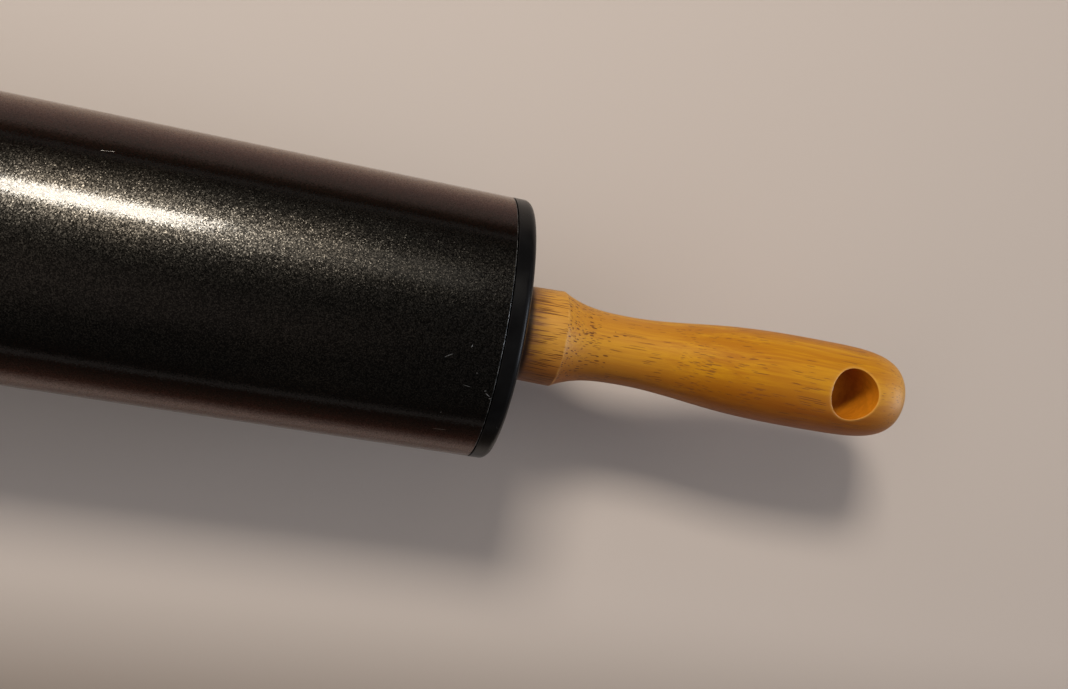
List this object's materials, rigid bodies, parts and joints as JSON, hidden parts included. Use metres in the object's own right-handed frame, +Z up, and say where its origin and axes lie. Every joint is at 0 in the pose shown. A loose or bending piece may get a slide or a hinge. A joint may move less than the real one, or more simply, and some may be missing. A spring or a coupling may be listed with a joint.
{
  "type": "non-stick rolling pin",
  "caption": "Rolling pin with a black non-stick coated barrel that turns on ball bearings between turned wooden handles, each with a hanging hole.",
  "frame": {"origin": "middle of the line that the barrel rests on, at the bottom of the barrel halfway along it", "axes": "+X along the pin, towards the right handle; +Z up, away from the surface that the barrel rests on; the axle is parallel to X, 31.7 mm up"},
  "size_m": [0.4666, 0.0634, 0.0633],
  "materials": {
    "nonstick_coating": "satin",
    "cap_plastic": "satin",
    "handle_wood": "satin",
    "axle_steel": "satin",
    "bearing_steel": "polished",
    "cage_nylon": "matte",
    "insert_brass": "satin"
  },
  "bodies": {
    "handles": {"axle_rod": "axle_steel", "handle_left": "handle_wood", "threaded_insert_left": "insert_brass", "spacer_washer_left": "axle_steel", "retaining_clip_left": "axle_steel", "bearing_inner_ring_left": "bearing_steel", "handle_right": "handle_wood", "threaded_insert_right": "insert_brass", "spacer_washer_right": "axle_steel", "retaining_clip_right": "axle_steel", "bearing_inner_ring_right": "bearing_steel"},
    "barrel": {"barrel_tube": "nonstick_coating", "end_cap_left": "cap_plastic", "bearing_outer_ring_left": "bearing_steel", "bearing_shield_left_outer": "bearing_steel", "bearing_shield_left_inner": "bearing_steel", "end_cap_right": "cap_plastic", "bearing_outer_ring_right": "bearing_steel", "bearing_shield_right_outer": "bearing_steel", "bearing_shield_right_inner": "bearing_steel"},
    "bearing_cage_left": {"bearing_cage_left": "cage_nylon", "bearing_ball_left_1": "bearing_steel", "bearing_ball_left_2": "bearing_steel", "bearing_ball_left_3": "bearing_steel", "bearing_ball_left_4": "bearing_steel", "bearing_ball_left_5": "bearing_steel", "bearing_ball_left_6": "bearing_steel", "bearing_ball_left_7": "bearing_steel"},
    "bearing_cage_right": {"bearing_cage_right": "cage_nylon", "bearing_ball_right_1": "bearing_steel", "bearing_ball_right_2": "bearing_steel", "bearing_ball_right_3": "bearing_steel", "bearing_ball_right_4": "bearing_steel", "bearing_ball_right_5": "bearing_steel", "bearing_ball_right_6": "bearing_steel", "bearing_ball_right_7": "bearing_steel"}
  },
  "joints": [
    {"name": "barrel_spin", "type": "hinge", "parent": "handles", "child": "barrel", "pos_m": [0, 0, 0.03165], "axis": [1, 0, 0], "continuous": true},
    {"name": "cage_spin_left", "type": "hinge", "parent": "handles", "child": "bearing_cage_left", "pos_m": [-0.1192, 0, 0.03165], "axis": [1, 0, 0], "continuous": true},
    {"name": "cage_spin_right", "type": "hinge", "parent": "handles", "child": "bearing_cage_right", "pos_m": [0.1192, 0, 0.03165], "axis": [1, 0, 0], "continuous": true}
  ],
  "couplings": [
    {"joint": "cage_spin_left", "follows": "barrel_spin", "ratio": 0.62745},
    {"joint": "cage_spin_right", "follows": "barrel_spin", "ratio": 0.62745}
  ]
}
